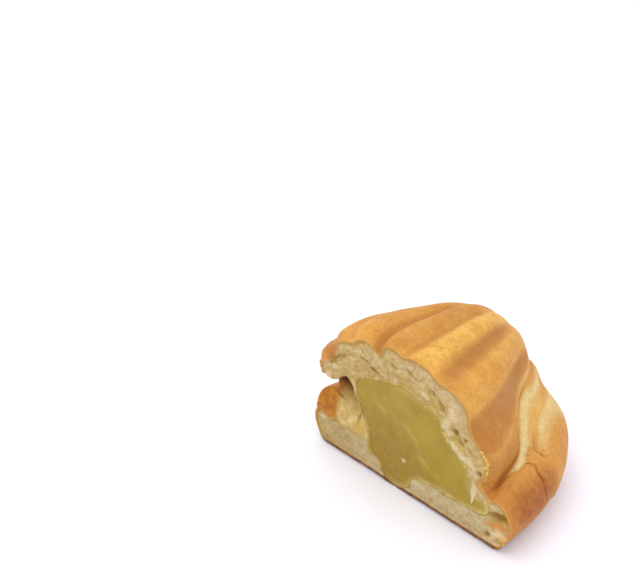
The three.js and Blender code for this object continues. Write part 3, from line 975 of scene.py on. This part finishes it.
def floor_material():
    n = Nodes("pale_table")
    tone = n.ramp(n.noise(3, 2), 0.3, 0.7)
    n.feed(n.shader, Base_Color=n.mix(tone, srgb(246, 246, 255), srgb(248, 248, 255)), Roughness=0.7)
    return n.material


# ---- the filling's mesh ----
# Paler smears on the paste's face, and one pale fleck, in the same form as the patches above.
SMEARS = ((3, 31.6, 4.6, 1.5, -38, 0.9), (-9.6, 33.8, 2.6, 1.5, -20, 0.8), (12.5, 19.6, 4.6, 1.4, -30, 1),
          (7.6, 26.4, 4.4, 1.1, -55, 0.6), (-4, 33, 4, 1.4, -45, 0.5), (19, 16.8, 3.2, 1.2, -28, 0.6),
          (-8.5, 24, 2, 1, -50, 0.4), (2, 40, 5, 1.2, -20, 0.3))
FLECK = (1.7, 15.8, 0.95, 0.75, 20, 1)


def make_filling():
    lines = grid_axes(*FILLING_GRID, FILLING_STEP)
    x, y, z = np.meshgrid(*lines, indexing="ij")
    body = filling_field(x, y, z) - 0.2
    face = filling_face(x, z)
    face = face - 0.35 * patch(x, z, FLECK) - 0.12 * patches(x, z, SMEARS)
    field = blend_max(body, face - y, 0.4)
    points, quads = surface_nets(field, lines)
    piece = make_object("filling_half", points, quads)
    thin_out(piece, FILLING_FACES)
    keep_in_box(piece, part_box("filling"))
    x, y, z = own_points(piece)
    sway = 1.6 * wobble.layered(x, y, z, 9, 2)
    inside = filling_field(x, y, z)
    on_face = y < 3
    ragged = patches(x + sway, z - sway, SMEARS) * (0.6 + 0.5 * edge_noise.layered(x, y, z, 2.2, 2))
    mellow = ramp(-3.6, 0.0, inside + 0.9 * edge_noise.layered(x, y, z, 3, 2))
    near_crumb = ramp(-4.5, 0.0, inside + 0.8 * wobble.soft(x, y, z, 3))
    paint(
        piece,
        # painted shade: the paste's face darker and browner towards the lower left
        brown=ramp(4.0, -6.0, z - 34.8 + 0.95 * (x + 2.2) + 3 * sway) * ramp(44, 20, z),
        smear=ragged * on_face,
        mellow=mellow * ramp(-8, 0, x) * (0.6 + 0.4 * ramp(26, 18, z)) * on_face,
        fringe=near_crumb * (0.32 + 0.2 * ramp(-6, 12, x)) * on_face,
        fleck=patch(x, z, FLECK) * on_face * 1.5,
    )
    return piece


# ---- loose crumbs of crust ----
# Stretches of the cut's near edge that carry crumbs: from and to height, how many.
CRUMB_RUNS = ((40.4, 37.6, 9), (37.6, 31.8, 16), (8.0, 2.0, 9))


def near_edge(heights):
    """Where the cut's near edge stands, across, at each height."""
    across = np.arange(54, 30, -0.1, dtype=np.float32)
    x, z = np.meshgrid(across, heights.astype(np.float32), indexing="ij")
    inside = outside_field(x, 0 * x + 0.5, z) < 0
    return across[np.argmax(inside, axis=0)]


def make_granule(draw, middle, size):
    """A rough lump with twelve corners, as points and triangles."""
    golden = (1 + math.sqrt(5)) / 2
    corners = []
    for a in (-1, 1):
        for b in (-golden, golden):
            corners += [(0, a, b), (a, b, 0), (b, 0, a)]
    corners = np.array(corners)
    triangles = []
    for i, j, k in itertools.combinations(range(12), 3):
        sides = (corners[i] - corners[j], corners[j] - corners[k], corners[k] - corners[i])
        if all(abs(side @ side - 4) < 0.1 for side in sides):
            outward = np.cross(corners[j] - corners[i], corners[k] - corners[i]) @ corners[i] > 0
            triangles.append((i, j, k) if outward else (i, k, j))
    stretch = draw.uniform(0.7, 1.3, 3)
    rough = draw.uniform(0.75, 1.2, (12, 1))
    return middle + corners / 1.9 * rough * stretch * size, np.array(triangles)


def make_loose_crumbs():
    draw = np.random.default_rng(7)
    points, triangles, count = [], [], 0
    for start, end, number in CRUMB_RUNS:
        heights = draw.uniform(min(start, end), max(start, end), number)
        for height, edge in zip(heights, near_edge(heights)):
            size = draw.uniform(0.25, 0.6)
            middle = np.array([edge - 0.5 + draw.normal(0, 0.5), 0.1 + 0.5 * size, height])
            lump, faces = make_granule(draw, middle, size)
            points.append(lump)
            triangles.append(faces + count)
            count += len(lump)
    piece = make_object("loose_crumbs", np.concatenate(points), np.concatenate(triangles))
    keep_in_box(piece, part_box("bread"))
    return piece


# ---- stage, light and camera ----
TABLE_REACH = 3.0        # metres from the middle to each side
SKY_COLOUR, SKY_STRENGTH = (0.985, 0.98, 1.0, 1), 1.1
KEY_LIGHT = dict(place=(-0.18, -0.3, 1.1), aim=(0, 0, 0.02), size=1.4, power=4.0)
# The photo's camera: place in mm in the cut's frame, turn and pitch in degrees, lens in mm.
CAMERA = dict(place=(159.994, -200.943, 228.699), turn=45.485, pitch=28, lens=46.7, clip_start=0.01)


def make_stage():
    reach = TABLE_REACH
    mesh = bpy.data.meshes.new("table")
    mesh.from_pydata([(-reach, -reach, 0), (reach, -reach, 0), (reach, reach, 0), (-reach, reach, 0)],
                     [], [(0, 1, 2, 3)])
    table = add_object("table", mesh)
    table.data.materials.append(floor_material())
    world = bpy.data.worlds.new("studio")
    world.use_nodes = True
    sky = world.node_tree.nodes["Background"].inputs
    sky["Color"].default_value = SKY_COLOUR
    sky["Strength"].default_value = SKY_STRENGTH
    bpy.context.scene.world = world
    bpy.context.scene.view_settings.view_transform = "Standard"


def point_along(thing, ahead):
    thing.rotation_mode = "QUATERNION"
    thing.rotation_quaternion = ahead.to_track_quat("-Z", "Y")


def make_light(name, place, aim, size, power):
    light = bpy.data.lights.new(name, "AREA")
    light.size = size
    light.energy = power
    lamp = add_object(name, light)
    lamp.location = place
    point_along(lamp, Vector(aim) - Vector(place))


def make_camera():
    """It looks down at the cut from the near side, with the bun low right in the picture."""
    turn, pitch = math.radians(CAMERA["turn"]), math.radians(CAMERA["pitch"])
    camera = add_object("camera", bpy.data.cameras.new("camera"))
    camera.data.lens = CAMERA["lens"]
    camera.data.clip_start = CAMERA["clip_start"]
    camera.location = Vector(CAMERA["place"]) * MM + TO_FRAME
    point_along(camera, Vector((-math.sin(turn) * math.cos(pitch), math.cos(turn) * math.cos(pitch),
                                -math.sin(pitch))))
    bpy.context.scene.camera = camera


bread = make_bread()
paint_bread(bread)
bread.data.materials.append(bread_material())
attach(bread, "root")
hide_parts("bread")

filling = make_filling()
filling.data.materials.append(filling_material())
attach(filling, "root")
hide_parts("filling")

crumbs = make_loose_crumbs()
crumbs.data.materials.append(granule_material())
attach(crumbs, "root")

make_stage()
make_light("key", **KEY_LIGHT)
make_camera()
